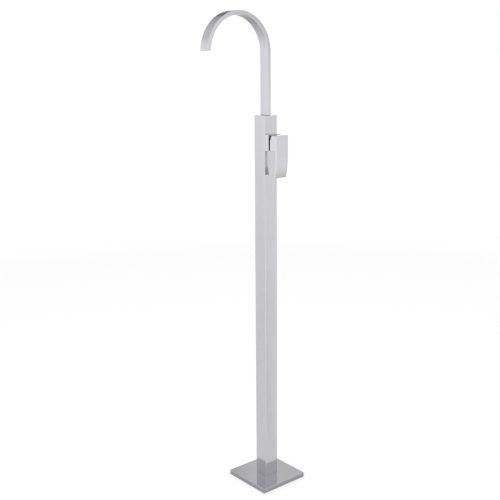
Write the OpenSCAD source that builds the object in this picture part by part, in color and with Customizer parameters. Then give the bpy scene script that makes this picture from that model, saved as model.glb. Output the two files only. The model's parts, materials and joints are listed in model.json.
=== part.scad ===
// Floor-standing basin mixer: a square column on a square plate, an arched ribbon spout
// and a lever on the side. Lengths are in millimetres and angles in degrees.
// The origin is on the floor under the middle of the column. +Z is up, the spout reaches
// out along -Y, and the lever is on the column's +X face.

/* [Column] */
// Outside width of the square column
column_w = 40; // [38:1:60]
// Wall of the column tube
column_wall = 2; // [1.5:0.25:2.5]
// Height of the column's top face above the floor
column_top_z = 985; // [600:5:1300]
// Rounding of the column's long edges
column_edge_r = 0.6; // [0.3:0.1:1.2]
// Thickness of the lid let into the column's top
lid_t = 5; // [4:0.5:8]

/* [Base] */
// Width of the square cover plate
plate_w = 144; // [130:2:220]
// Height of the cover plate above the floor
plate_h = 13; // [12:0.5:24]
// Wall of the cover plate
plate_wall = 1.5; // [1:0.1:2.5]
// Rounding of the cover plate's outer edges
plate_edge_r = 0.8; // [0.4:0.1:1.2]
// Space between the floor flange's edge and the inside of the cover plate
flange_gap = 11.5; // [4:0.5:14]
// Thickness of the floor flange
flange_t = 5; // [4:0.5:6]
// Radius of the four floor bolt holes
floor_hole_r = 4.5; // [3:0.25:6]
// Distance of a floor bolt hole from the flange's edges
floor_hole_inset = 13; // [9:0.5:16]
// Height of the inlet block and the riser block together, inside the column's foot
inlet_block_h = 38; // [34:1:60]

/* [Spout] */
// Width of the ribbon spout
spout_w = 28.75; // [24:0.25:34]
// Thickness of the ribbon spout
spout_t = 9.75; // [9:0.25:14]
// Wall of the ribbon spout
spout_wall = 1.25; // [1:0.05:1.4]
// Rounding of the ribbon spout's long edges
spout_edge_r = 0.9; // [0.3:0.1:1]
// Radius of the arch at the middle of the ribbon
arch_r = 92; // [60:1:130]
// Height of the arch's centre above the column's top
arch_rise = 153; // [60:1:260]
// Angle that the arch turns through
arch_sweep = 177.6; // [120:0.1:180]
// Angle that the spout swivels to each side
swivel_each_way = 60; // [30:5:70]
// Length of the jet straightener in the spout's mouth
straightener_len = 6; // [4:0.5:10]
// Depth of the jet straightener behind the mouth
straightener_recess = 1; // [0.5:0.1:3]
// Number of jet straightener cells across the ribbon
cells_across = 8; // [4:1:10]
// Number of jet straightener cells through the ribbon
cells_through = 2; // [2:1:3]

/* [Valve] */
// Distance of the cartridge's axis below the column's top
valve_drop = 66.5; // [60:0.5:200]
// Length that the stub stands out of the column
stub_out = 13.5; // [13:0.5:20]
// Radius of the cartridge
cartridge_r = 12.5; // [12:0.1:12.8]
// Distance of the cartridge's seat from the column's middle
seat_x = 4; // [3.5:0.1:5]
// Radius of the riser pipes
riser_r = 5; // [4:0.1:5.2]
// Wall of the riser pipes
riser_wall = 1; // [0.6:0.1:1.2]
// Distance of each riser pipe from the middle plane
riser_y = 8.5; // [8.2:0.1:9]
// Radius of the threaded inlets in the inlet block
inlet_r = 7.475; // [6:0.005:7.6]
// Depth of the threaded inlets
inlet_depth = 14; // [10:0.5:16]

/* [Lever] */
// Space between the stub and the lever
lever_gap = 4; // [2.5:0.5:8]
// Step from the stub's sides in to the lever's sides
lever_inset = 1; // [0.5:0.25:3]
// Depth of the lever's head along the cartridge's axis
lever_depth = 25; // [22:0.5:34]
// Wall of the lever's hollow head
lever_wall = 3; // [2:0.25:4]
// Thickness of the lever's paddle
paddle_t = 6; // [4:0.25:8]
// Distance of the paddle's tip below the cartridge's axis
paddle_drop = 86; // [60:1:130]
// Distance below the cartridge's axis where the paddle starts to bend
bend_drop = 33; // [26:1:50]
// Radius of the paddle's outer face where it bends
bend_r = 190; // [130:5:400]
// Height of the slope at the top of the head's inner face
relief_h = 14.5; // [12:0.5:18]
// Angle that the lever lifts through from shut to full flow
lift_angle = 22; // [15:1:24]

/* [Fits] */
// Space on each side of what slides into the column tube
tube_fit = 0.3; // [0.1:0.05:0.5]
// Radial clearance of turning fits
running_fit = 0.05; // [0.02:0.01:0.08]
// Radial clearance of screwed and pushed-in pieces
seat_fit = 0.1; // [0.05:0.01:0.15]
// Gap between the spout's foot and the column's lid
foot_gap = 0.2; // [0.1:0.05:0.5]
// Space between the column and the hole in the cover plate, on each side
cover_fit = 0.15; // [0.1:0.05:0.4]

/* [Hidden] */
$fn = 96;
// Overlap that lets a cut pass clear of the face it opens
past = 1;
sides = [-1, 1];

// Column and what slides into it
bore_w = column_w - 2 * column_wall;
insert_w = bore_w - 2 * tube_fit;
lid_z = column_top_z - lid_t;

// Base
plate_hole_w = column_w + 2 * cover_fit;
cover_under_z = plate_h - plate_wall;
cover_seal_h = 3;
cover_seal_w = column_w + 9;
flange_w = plate_w - 2 * (plate_wall + flange_gap);
floor_hole_at = flange_w / 2 - floor_hole_inset;
block_top_z = flange_t + inlet_block_h;
block_screw_at = insert_w / 2 - 4.7;
block_screw_r = 2;
block_screw_head_r = 3.6;
block_screw_head_h = 1.6;
block_screw_len = 26;
grub_r = 2.5;
grub_len = 5;
grub_z = flange_t + 4.5;
// Each clamp screw's side of the column, as an angle, and its place across that side
grub_spots = [[0, 0], [90, -7.5], [180, 0], [270, 7.5]];

// Inlets and riser pipes
riser_x = -1;
inlet_top_z = flange_t + inlet_depth;
// Radius of the ends of the window in the flange, below the inlets
flange_window_r = inlet_r + 0.8;
block_passage_r = 3.5;
riser_socket = 14;
riser_bottom_z = block_top_z - riser_socket;
filter_t = 1;
filter_r = inlet_r - 1;
seal_section_r = 0.55;
seal_groove_w = 1.8;
seal_groove_r = riser_r + 2 * seal_section_r + 0.1;
seal_ring_r = riser_r + seal_section_r + 0.07;
seal_inset = 4;

// Valve body
axis_z = column_top_z - valve_drop;
valve_below = 27;
valve_z = axis_z - valve_below;
valve_socket = 12;
riser_top_z = valve_z + valve_socket;
valve_block_top_z = axis_z + 24.5;
valve_neck_r = insert_w / 2 - 2;
valve_head_h = 6;
feed_x = riser_x - 1.5;
feed_y = riser_y - 1.5;
feed_r = 2.75;
port_r = 2.2;
port_y = 5;
port_drop = 3.5;
outlet_port_z = 5;
outlet_r = 3;
// Each cartridge port's place across the axis, as Y and height above the axis
ports = [[-port_y, -port_drop], [port_y, -port_drop], [0, outlet_port_z]];

// Stub and its screws
stub_x = column_w / 2;
stub_end_x = stub_x + stub_out;
stub_neck_r = cartridge_r + 2.5;
stub_screw_at = column_w / 2 - 6.5;
stub_screw_r = 1.95;
stub_screw_head_r = 3.4;
stub_screw_head_h = 1.6;
stub_screw_len = 24;
// Depth of the screws' heads below the faces they sit in
head_sink = 0.2;

// Cartridge, measured along its axis from the column's middle
base_t = 5;
disc_t = 3;
fixed_disc_x = seat_x + base_t;
moving_disc_x = fixed_disc_x + disc_t;
carrier_x = moving_disc_x + disc_t;
carrier_t = 4;
sleeve_x = carrier_x + carrier_t + 0.3;
sleeve_len = 8;
housing_end_x = sleeve_x + sleeve_len + 1.7;
housing_front_t = 1.5;
housing_bore_r = cartridge_r - 2.4;
hub_r = 7.5;
hub_end_x = housing_end_x + 0.8;
fixed_disc_r = cartridge_r - 3;
moving_disc_r = 7;
disc_offset = 1.5;
carrier_r = 6.8;
carrier_flat = 6.6;
nut_thread_r = cartridge_r + 1.5;
nut_bore_r = 9.2;
port_seal_r = port_r + 1;
port_seal_t = 1.2;
peg_r = 1.4;
peg_len = 2;
peg_at = [9.2, 3];

// Lever stem and its pivot
pivot_x = housing_end_x - 4;
ball_x = carrier_x + 2.4;
ball_r = 2.1;
ball_neck_r = 1.2;
blade_w = 5;
blade_x = pivot_x - 5;
stem_w = 7;
stem_x = pivot_x + 7.2;
slot_h = 10.6;
pin_r = 1.25;
pin_len = 17;

// Lever
lever_x = stub_end_x + lever_gap;
lever_end_x = lever_x + lever_depth;
lever_w = column_w - 2 * lever_inset;
lever_half = lever_w / 2;
lever_edge_r = 0.7;
// The slope at the top of the head lies flat against the stub just past full lift
relief_depth = relief_h * tan(lift_angle + 1.5);
pocket_w = lever_w - 2 * lever_wall;
pocket_end_x = lever_end_x - paddle_t;
boss_w = stem_w + 7;
boss_x = lever_x + 2.5;
stem_end_x = boss_x + 9;
lever_grub_x = lever_x + 7.5;
lever_grub_len = 8;
lever_plug_r = 3.2;
lever_plug_t = 2;

// Swivel
socket_r = 11;
socket_z = valve_block_top_z + 9;
slip_ring_t = 1;
slip_ring_bore_r = 6;
spigot_z = socket_z + slip_ring_t + running_fit;
spigot_top_z = lid_z - 0.4;
spigot_bore_r = 2.5;
swivel_neck_r = spout_t / 2 - 0.25;
tang_len = 12;
tang_floor = 2;
tang_wall = 1;
stud_z = spigot_z + 9;
spout_foot_z = column_top_z + foot_gap;
ring_section_r = 0.9;
ring_groove_w = 2.4;
ring_groove_depth = 2;
ring_zs = [spigot_z + 3, spigot_z + 8];
stop_z = spigot_z + 15.5;
stop_screw_r = 2;
stop_tip_r = 1.4;
stop_groove_h = 3;
stop_groove_depth = 2;
stop_groove_angle = 2 * (swivel_each_way + asin((stop_tip_r + 0.1) / (socket_r - stop_groove_depth)));

// Spout
arch_z = column_top_z + arch_rise;
spout_bore_w = spout_w - 2 * spout_wall;
spout_bore_t = spout_t - 2 * spout_wall;

// Rectangle about the origin with round corners
module round_rect(w, d, r) {
    square([w - 2 * r, d], center = true);
    square([w, d - 2 * r], center = true);
    for (x = sides, y = sides)
        translate([x * (w / 2 - r), y * (d / 2 - r)])
            circle(r = r);
}

// Places a shape on the cartridge's axis: its Z runs out along +X, its X along +Y and its Y up
module on_axis(x = 0) {
    translate([x, 0, axis_z])
        rotate([90, 0, 90])
            children();
}

// Carries a side outline, drawn as distance from the column against height, through a width
module side_outline(w) {
    translate([0, 0, axis_z])
        rotate([90, 0, 0])
            linear_extrude(w, center = true)
                children();
}

// Places a shape that turns about the arch's axis, with angles counted from the spout's leg
module on_arch() {
    translate([0, -arch_r, arch_z])
        rotate([90, 0, 90])
            children();
}

// One shape at each riser pipe
module at_risers(z) {
    for (y = sides)
        translate([riser_x, y * riser_y, z])
            children();
}

// One shape at each corner of a square
module at_corners(half, z = 0) {
    for (x = sides, y = sides)
        translate([x * half, y * half, z])
            children();
}

// A clamp screw's axis, pointing in from the column's face
module at_grub(spot) {
    rotate([0, 0, spot[0]])
        translate([column_w / 2, spot[1], grub_z])
            rotate([0, -90, 0])
                children();
}

module ring(outer_r, inner_r, h) {
    difference() {
        cylinder(r = outer_r, h = h);
        translate([0, 0, -past])
            cylinder(r = inner_r, h = h + 2 * past);
    }
}

module o_ring(ring_r, section_r) {
    rotate_extrude()
        translate([ring_r, 0])
            circle(r = section_r, $fn = 32);
}

// Grub screw along +Z with a hexagon socket in its lower end
module grub_screw(r, len) {
    difference() {
        cylinder(r = r, h = len);
        translate([0, 0, -past])
            cylinder(r = r * 0.55, h = len * 0.45 + past, $fn = 6);
    }
}

// Countersunk screw along -Z from its head's face
module countersunk_screw(r, head_r, head_h, len) {
    difference() {
        union() {
            translate([0, 0, -len])
                cylinder(r = r, h = len);
            translate([0, 0, -head_h])
                cylinder(r1 = r, r2 = head_r, h = head_h);
        }
        translate([0, 0, -head_h])
            cylinder(r = r * 0.6, h = head_h + past, $fn = 6);
    }
}

// Clearance hole for that screw
module countersunk_hole(r, head_r, head_h, len) {
    translate([0, 0, -len - past])
        cylinder(r = r, h = len + 2 * past);
    translate([0, 0, -head_h])
        cylinder(r1 = r, r2 = head_r, h = head_h);
    cylinder(r = head_r, h = past);
}

// Strip that rounds one edge of a box: the edge lies on the Z axis, the box towards -X and -Y
module edge_cut(r, len) {
    linear_extrude(len, center = true)
        difference() {
            translate([-r, -r])
                square(r + past);
            translate([-r, -r])
                circle(r = r, $fn = 48);
        }
}

module cover_plate() {
    color("silver")
        difference() {
            linear_extrude(plate_h)
                difference() {
                    round_rect(plate_w, plate_w, plate_edge_r);
                    square(plate_hole_w, center = true);
                }
            translate([0, 0, -past])
                linear_extrude(cover_under_z + past)
                    square(plate_w - 2 * plate_wall, center = true);
            for (a = [0, 90, 180, 270])
                rotate([0, 0, a])
                    translate([plate_w / 2, 0, plate_h])
                        rotate([90, 0, 0])
                            edge_cut(plate_edge_r, plate_w + 2 * past);
        }
}

module cover_seal() {
    color("dimgray")
        translate([0, 0, cover_under_z - cover_seal_h])
            linear_extrude(cover_seal_h)
                difference() {
                    square(cover_seal_w, center = true);
                    square(column_w + seat_fit, center = true);
                }
}

module floor_flange() {
    color("darkgray")
        difference() {
            linear_extrude(flange_t)
                round_rect(flange_w, flange_w, 6);
            at_corners(floor_hole_at, -past)
                cylinder(r = floor_hole_r, h = flange_t + 2 * past);
            at_risers(-past)
                cylinder(r = flange_window_r, h = flange_t + 2 * past);
            translate([riser_x - flange_window_r, -riser_y, -past])
                cube([2 * flange_window_r, 2 * riser_y, flange_t + 2 * past]);
            at_corners(block_screw_at, head_sink)
                rotate([180, 0, 0])
                    countersunk_hole(block_screw_r + seat_fit, block_screw_head_r + seat_fit,
                        block_screw_head_h, flange_t);
        }
}

module inlet_block() {
    color("goldenrod")
        difference() {
            translate([0, 0, flange_t])
                linear_extrude(inlet_depth)
                    round_rect(insert_w, insert_w, 1);
            at_risers(flange_t - past)
                cylinder(r = inlet_r, h = inlet_depth + 2 * past);
            at_corners(block_screw_at, flange_t - past)
                cylinder(r = block_screw_r + seat_fit, h = inlet_depth + 2 * past);
            for (spot = grub_spots)
                at_grub(spot)
                    cylinder(r = grub_r + running_fit, h = grub_len + 0.5);
        }
}

module riser_block() {
    color("goldenrod")
        difference() {
            translate([0, 0, inlet_top_z])
                linear_extrude(block_top_z - inlet_top_z)
                    round_rect(insert_w, insert_w, 1);
            at_risers(inlet_top_z - past)
                cylinder(r = filter_r + seat_fit, h = filter_t + 2 * seat_fit + past);
            at_risers(inlet_top_z)
                cylinder(r = block_passage_r, h = inlet_block_h);
            at_risers(riser_bottom_z)
                cylinder(r = riser_r + running_fit, h = riser_socket + past);
            at_risers(block_top_z - seal_inset - seal_groove_w / 2)
                cylinder(r = seal_groove_r, h = seal_groove_w);
            at_corners(block_screw_at, inlet_top_z - past)
                cylinder(r = block_screw_r + running_fit, h = block_screw_len + head_sink - inlet_top_z + 2 * past);
        }
}

module block_screws() {
    color("silver")
        at_corners(block_screw_at, head_sink)
            rotate([180, 0, 0])
                countersunk_screw(block_screw_r, block_screw_head_r, block_screw_head_h, block_screw_len);
}

module inlet_filters() {
    color("lightgray")
        at_risers(inlet_top_z + seat_fit)
            difference() {
                cylinder(r = filter_r, h = filter_t);
                for (a = [0:60:300])
                    rotate([0, 0, a])
                        translate([filter_r / 2, 0, -past])
                            cylinder(r = filter_r / 6, h = filter_t + 2 * past);
            }
}

module column() {
    color("gainsboro")
        difference() {
            translate([0, 0, flange_t])
                linear_extrude(column_top_z - flange_t)
                    difference() {
                        round_rect(column_w, column_w, column_edge_r);
                        square(bore_w, center = true);
                    }
            on_axis(bore_w / 2 - past) {
                cylinder(r = stub_neck_r + seat_fit, h = column_wall + 2 * past);
                at_corners(stub_screw_at)
                    cylinder(r = stub_screw_r + 2 * seat_fit, h = column_wall + 2 * past);
            }
            translate([0, bore_w / 2 - past, stop_z])
                rotate([-90, 0, 0])
                    cylinder(r = stop_screw_r + 2 * seat_fit, h = column_wall + 2 * past);
            for (spot = grub_spots)
                at_grub(spot)
                    translate([0, 0, -past])
                        cylinder(r = grub_r + seat_fit, h = column_wall + 2 * past);
        }
}

module column_grub_screws() {
    color("dimgray")
        for (spot = grub_spots)
            at_grub(spot)
                translate([0, 0, 0.2])
                    grub_screw(grub_r, grub_len);
}

module column_lid() {
    color("gainsboro")
        translate([0, 0, lid_z])
            linear_extrude(lid_t)
                difference() {
                    square(bore_w - seat_fit, center = true);
                    circle(r = swivel_neck_r + running_fit);
                }
}

module riser(side) {
    translate([riser_x, side * riser_y, riser_bottom_z + 0.2])
        ring(riser_r, riser_r - riser_wall, riser_top_z - riser_bottom_z - 0.4);
}

module hot_riser() {
    color("peru")
        riser(-1);
}

module cold_riser() {
    color("peru")
        riser(1);
}

module riser_seals() {
    color("black")
        for (z = [block_top_z - seal_inset, valve_z + seal_inset])
            at_risers(z)
                o_ring(seal_ring_r, seal_section_r);
}

module valve_body() {
    color("goldenrod")
        difference() {
            union() {
                translate([0, 0, valve_z])
                    linear_extrude(valve_block_top_z - valve_z)
                        round_rect(insert_w, insert_w, 1);
                translate([0, 0, valve_block_top_z - past])
                    cylinder(r = valve_neck_r, h = lid_z - valve_block_top_z);
                translate([0, 0, lid_z - valve_head_h])
                    linear_extrude(valve_head_h)
                        round_rect(insert_w, insert_w, 1);
            }
            at_risers(valve_z - past)
                cylinder(r = riser_r + running_fit, h = valve_socket + past);
            at_risers(valve_z + seal_inset - seal_groove_w / 2)
                cylinder(r = seal_groove_r, h = seal_groove_w);
            for (y = sides)
                translate([feed_x, y * feed_y, riser_top_z - past])
                    cylinder(r = feed_r, h = axis_z - port_drop + port_r - riser_top_z + past);
            translate([riser_x, 0, axis_z + outlet_port_z - port_r])
                cylinder(r = outlet_r, h = socket_z - axis_z);
            translate([0, 0, socket_z])
                cylinder(r = socket_r + running_fit, h = lid_z - socket_z + past);
            on_axis(feed_x)
                for (p = ports)
                    translate([p[0], p[1], 0])
                        cylinder(r = port_r, h = seat_x - feed_x + past);
            on_axis(seat_x) {
                cylinder(r = cartridge_r + seat_fit, h = insert_w);
                for (y = sides)
                    translate([y * peg_at[0], peg_at[1], -peg_len - 0.3])
                        cylinder(r = peg_r + seat_fit, h = peg_len + past);
            }
            on_axis(stub_end_x - stub_screw_len - past)
                at_corners(stub_screw_at)
                    cylinder(r = stub_screw_r + running_fit, h = stub_screw_len);
            translate([0, socket_r - past, stop_z])
                rotate([-90, 0, 0])
                    cylinder(r = stop_screw_r + running_fit, h = insert_w / 2);
        }
}

module valve_stub() {
    color("gainsboro")
        difference() {
            union() {
                on_axis(stub_x)
                    linear_extrude(stub_out)
                        round_rect(column_w, column_w, column_edge_r);
                on_axis(insert_w / 2)
                    cylinder(r = stub_neck_r, h = stub_x - insert_w / 2 + past);
            }
            on_axis(insert_w / 2 - past)
                cylinder(r = cartridge_r + seat_fit, h = stub_end_x);
            on_axis(housing_end_x - 0.2)
                cylinder(r = nut_thread_r + running_fit, h = stub_out);
            on_axis(stub_end_x - head_sink)
                at_corners(stub_screw_at)
                    countersunk_hole(stub_screw_r + seat_fit, stub_screw_head_r + seat_fit,
                        stub_screw_head_h, stub_out);
        }
}

module stub_screws() {
    color("silver")
        on_axis(stub_end_x - head_sink)
            at_corners(stub_screw_at)
                countersunk_screw(stub_screw_r, stub_screw_head_r, stub_screw_head_h, stub_screw_len);
}

module cartridge_base() {
    color("ivory")
        on_axis(seat_x)
            difference() {
                union() {
                    cylinder(r = cartridge_r, h = base_t);
                    for (y = sides)
                        translate([y * peg_at[0], peg_at[1], -peg_len])
                            cylinder(r = peg_r, h = peg_len + past);
                }
                for (p = ports)
                    translate([p[0], p[1], -past]) {
                        cylinder(r = port_r, h = base_t + 2 * past);
                        cylinder(r = port_seal_r + seat_fit, h = port_seal_t + past);
                    }
            }
}

module cartridge_seals() {
    color("black")
        on_axis(seat_x)
            for (p = ports)
                translate([p[0], p[1], 0])
                    ring(port_seal_r, port_r, port_seal_t);
}

module fixed_disc() {
    color("whitesmoke")
        on_axis(fixed_disc_x)
            difference() {
                cylinder(r = fixed_disc_r, h = disc_t);
                for (p = ports)
                    translate([p[0], p[1], -past])
                        cylinder(r = port_r, h = disc_t + 2 * past);
            }
}

module cartridge_housing() {
    color("ivory")
        on_axis(fixed_disc_x) {
            ring(cartridge_r, housing_bore_r, housing_end_x - fixed_disc_x);
            translate([0, 0, housing_end_x - fixed_disc_x - housing_front_t])
                ring(housing_bore_r + past, hub_r + running_fit, housing_front_t);
        }
}

module cartridge_nut() {
    color("goldenrod")
        on_axis(housing_end_x)
            difference() {
                ring(nut_thread_r, nut_bore_r, stub_end_x - housing_end_x);
                for (a = [0, 90])
                    rotate([0, 0, a])
                        translate([0, 0, stub_end_x - housing_end_x])
                            cube([3 * nut_thread_r, 3, 3], center = true);
            }
}

module swivel_slip_ring() {
    color("white")
        translate([0, 0, socket_z])
            ring(socket_r - seat_fit, slip_ring_bore_r, slip_ring_t);
}

module swivel_stop_screw() {
    tip_y = socket_r - stop_groove_depth + 0.4;
    shank_y = socket_r + 0.6;
    color("dimgray")
        translate([0, insert_w / 2, stop_z])
            rotate([90, 0, 0]) {
                grub_screw(stop_screw_r, insert_w / 2 - shank_y);
                cylinder(r = stop_tip_r, h = insert_w / 2 - tip_y);
            }
}

module spout() {
    color("gainsboro")
        difference() {
            union() {
                translate([0, 0, spout_foot_z])
                    linear_extrude(arch_z - spout_foot_z)
                        round_rect(spout_w, spout_t, spout_edge_r);
                on_arch()
                    rotate_extrude(angle = arch_sweep, $fn = 180)
                        translate([arch_r, 0])
                            round_rect(spout_t, spout_w, spout_edge_r);
            }
            translate([0, 0, spout_foot_z - past])
                linear_extrude(arch_z - spout_foot_z + past)
                    square([spout_bore_w, spout_bore_t], center = true);
            on_arch()
                rotate_extrude(angle = arch_sweep + 1, $fn = 180)
                    translate([arch_r, 0])
                        square([spout_bore_t, spout_bore_w], center = true);
        }
}

module spout_tang() {
    color("silver")
        difference() {
            union() {
                translate([0, 0, spout_foot_z])
                    linear_extrude(tang_len)
                        square([spout_bore_w - seat_fit, spout_bore_t - seat_fit], center = true);
                translate([0, 0, stud_z])
                    cylinder(r = swivel_neck_r, h = spout_foot_z - stud_z);
            }
            translate([0, 0, stud_z - past])
                cylinder(r = spigot_bore_r, h = spout_foot_z - stud_z + tang_len);
            translate([0, 0, spout_foot_z + tang_floor])
                linear_extrude(tang_len)
                    square([spout_bore_w - seat_fit - 2 * tang_wall, spout_bore_t - seat_fit - 2 * tang_wall],
                        center = true);
        }
}

module swivel_spigot() {
    color("goldenrod")
        difference() {
            translate([0, 0, spigot_z])
                cylinder(r = socket_r, h = spigot_top_z - spigot_z);
            translate([0, 0, spigot_z - past])
                cylinder(r = spigot_bore_r, h = spigot_top_z - spigot_z + 2 * past);
            translate([0, 0, stud_z])
                cylinder(r = swivel_neck_r + running_fit, h = spigot_top_z);
            for (z = ring_zs)
                translate([0, 0, z - ring_groove_w / 2])
                    ring(socket_r + past, socket_r - ring_groove_depth, ring_groove_w);
            translate([0, 0, stop_z])
                rotate([0, 0, 90 - stop_groove_angle / 2])
                    rotate_extrude(angle = stop_groove_angle)
                        translate([socket_r - stop_groove_depth, -stop_groove_h / 2])
                            square([stop_groove_depth + past, stop_groove_h]);
        }
}

module swivel_seals() {
    color("black")
        for (z = ring_zs)
            translate([0, 0, z])
                o_ring(socket_r - ring_section_r - 0.05, ring_section_r);
}

module jet_straightener() {
    rim = 0.9;
    rib = 0.6;
    deep = spout_bore_t - 2 * seat_fit;
    wide = spout_bore_w - 2 * seat_fit;
    cell_deep = (deep - 2 * rim - (cells_through - 1) * rib) / cells_through;
    cell_wide = (wide - 2 * rim - (cells_across - 1) * rib) / cells_across;
    end_angle = arch_sweep - straightener_recess / arch_r * 180 / PI;
    len_angle = straightener_len / arch_r * 180 / PI;
    color("white")
        on_arch()
            rotate([0, 0, end_angle - len_angle])
                rotate_extrude(angle = len_angle, $fn = 180)
                    translate([arch_r - deep / 2, -wide / 2])
                        difference() {
                            square([deep, wide]);
                            for (i = [0:cells_through - 1], j = [0:cells_across - 1])
                                translate([rim + i * (cell_deep + rib), rim + j * (cell_wide + rib)])
                                    square([cell_deep, cell_wide]);
                        }
}

module mixing_sleeve() {
    tab_t = 2;
    color("ivory")
        on_axis(sleeve_x)
            difference() {
                union() {
                    cylinder(r = housing_bore_r - running_fit, h = sleeve_len);
                    cylinder(r = hub_r, h = hub_end_x - sleeve_x);
                    for (y = sides)
                        translate([y * (carrier_flat + 0.1 + tab_t / 2), 0, (carrier_x + 0.3 - sleeve_x + past) / 2])
                            cube([tab_t, 6, sleeve_x - carrier_x - 0.3 + past], center = true);
                }
                translate([0, 0, sleeve_len / 2])
                    cube([blade_w + 2 * seat_fit, slot_h, 3 * sleeve_len], center = true);
                translate([0, 0, pivot_x - sleeve_x])
                    rotate([0, 90, 0])
                        cylinder(r = pin_r + running_fit, h = 3 * cartridge_r, center = true);
            }
}

module pivot_pin() {
    color("silver")
        on_axis(pivot_x)
            rotate([0, 90, 0])
                cylinder(r = pin_r, h = pin_len, center = true);
}

module disc_carrier() {
    color("ivory")
        on_axis(carrier_x)
            difference() {
                translate([0, disc_offset, 0])
                    intersection() {
                        cylinder(r = carrier_r + 0.4, h = carrier_t);
                        cube([2 * carrier_flat, 3 * carrier_r, 3 * carrier_t], center = true);
                    }
                translate([0, 0, ball_x - ball_r - 0.2 - carrier_x])
                    cylinder(r = ball_r + seat_fit, h = carrier_t + past);
            }
}

module moving_disc() {
    color("whitesmoke")
        on_axis(moving_disc_x)
            translate([0, disc_offset, 0])
                difference() {
                    cylinder(r = moving_disc_r, h = disc_t);
                    translate([0, 1, -past])
                        cylinder(r = port_r + 1.6, h = disc_t / 2 + past);
                }
}

module lever() {
    color("gainsboro")
        difference() {
            intersection() {
                side_outline(lever_w + 2 * past)
                    union() {
                        polygon([[lever_x, -lever_half], [pocket_end_x, -lever_half], [pocket_end_x, -bend_drop],
                            [lever_end_x, -bend_drop], [lever_end_x, lever_half],
                            [lever_x + relief_depth, lever_half], [lever_x, lever_half - relief_h]]);
                        intersection() {
                            translate([lever_end_x - bend_r, -bend_drop])
                                difference() {
                                    circle(r = bend_r, $fn = 360);
                                    circle(r = bend_r - paddle_t, $fn = 360);
                                }
                            translate([lever_x - bend_r / 2, -paddle_drop - past])
                                square([lever_depth + bend_r / 2, paddle_drop - bend_drop + past]);
                        }
                    }
                on_axis(lever_x - bend_r / 2)
                    linear_extrude(lever_depth + bend_r)
                        translate([0, (lever_half - paddle_drop) / 2])
                            round_rect(lever_w, lever_half + paddle_drop, lever_edge_r);
            }
            difference() {
                on_axis(lever_x - past)
                    linear_extrude(pocket_end_x - lever_x + past)
                        square(pocket_w, center = true);
                on_axis(boss_x)
                    linear_extrude(lever_depth)
                        square(boss_w, center = true);
                on_axis(boss_x)
                    linear_extrude(stem_end_x - boss_x)
                        translate([-boss_w / 2, -lever_half])
                            square([boss_w, lever_half]);
            }
            on_axis(boss_x - past)
                linear_extrude(stem_end_x + 0.4 - boss_x + past)
                    square(stem_w + 2 * seat_fit, center = true);
            translate([lever_grub_x, 0, axis_z - lever_half - past]) {
                cylinder(r = grub_r + running_fit, h = lever_half - stem_w / 2 + past);
                cylinder(r = lever_plug_r + seat_fit, h = lever_plug_t + past);
            }
        }
}

module lever_stem() {
    color("goldenrod")
        on_axis()
            difference() {
                union() {
                    translate([0, 0, ball_x])
                        sphere(r = ball_r, $fn = 48);
                    translate([0, 0, ball_x])
                        cylinder(r = ball_neck_r, h = blade_x - ball_x + past);
                    translate([0, 0, blade_x])
                        linear_extrude(stem_x - blade_x + past)
                            square(blade_w, center = true);
                    translate([0, 0, stem_x])
                        linear_extrude(stem_end_x - stem_x)
                            square(stem_w, center = true);
                }
                translate([0, 0, pivot_x])
                    rotate([0, 90, 0])
                        cylinder(r = pin_r + running_fit, h = 2 * stem_w, center = true);
            }
}

module lever_grub_screw() {
    color("dimgray")
        translate([lever_grub_x, 0, axis_z - stem_w / 2 - 0.1 - lever_grub_len])
            grub_screw(grub_r, lever_grub_len);
}

module lever_screw_plug() {
    color("lightgray")
        translate([lever_grub_x, 0, axis_z - lever_half])
            cylinder(r = lever_plug_r, h = lever_plug_t);
}

cover_plate();
cover_seal();
floor_flange();
inlet_block();
riser_block();
block_screws();
inlet_filters();
column();
column_grub_screws();
column_lid();
hot_riser();
cold_riser();
riser_seals();
valve_body();
valve_stub();
stub_screws();
cartridge_base();
cartridge_seals();
fixed_disc();
cartridge_housing();
cartridge_nut();
swivel_slip_ring();
swivel_stop_screw();
spout();
spout_tang();
swivel_spigot();
swivel_seals();
jet_straightener();
mixing_sleeve();
pivot_pin();
disc_carrier();
moving_disc();
lever();
lever_stem();
lever_grub_screw();
lever_screw_plug();
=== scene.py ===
import json
import math
import bpy
import numpy as np
from mathutils import Matrix, Vector


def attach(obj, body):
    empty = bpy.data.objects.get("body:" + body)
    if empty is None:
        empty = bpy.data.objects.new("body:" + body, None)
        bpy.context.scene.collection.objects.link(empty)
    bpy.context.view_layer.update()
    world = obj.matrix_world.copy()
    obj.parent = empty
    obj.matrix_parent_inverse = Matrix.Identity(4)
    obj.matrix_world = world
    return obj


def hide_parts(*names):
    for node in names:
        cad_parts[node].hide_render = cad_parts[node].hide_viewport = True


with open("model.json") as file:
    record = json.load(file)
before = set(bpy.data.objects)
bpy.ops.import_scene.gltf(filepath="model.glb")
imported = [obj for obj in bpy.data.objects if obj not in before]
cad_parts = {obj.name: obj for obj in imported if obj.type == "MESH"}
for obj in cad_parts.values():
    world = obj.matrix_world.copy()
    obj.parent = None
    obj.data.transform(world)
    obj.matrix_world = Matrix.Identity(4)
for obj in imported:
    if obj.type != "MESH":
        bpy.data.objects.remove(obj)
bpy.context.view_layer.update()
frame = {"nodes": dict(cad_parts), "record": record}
nodes = frame["nodes"]
mm = 0.001
print("frame loaded:", len(nodes), "nodes")

# Camera: on a circle round the column, level with the spout's mouth, looking down 13 degrees
viewing = {"azimuth": 50.1598, "sideways": -0.0416782, "distance": 2.1307485, "height": 1.1298549,
           "lookDown": 12.9744, "roll": -0.4569, "focalPixels": 843.3557, "pictureWidth": 500,
           "sensorWidth": 36, "clipEnd": 50}


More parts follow.
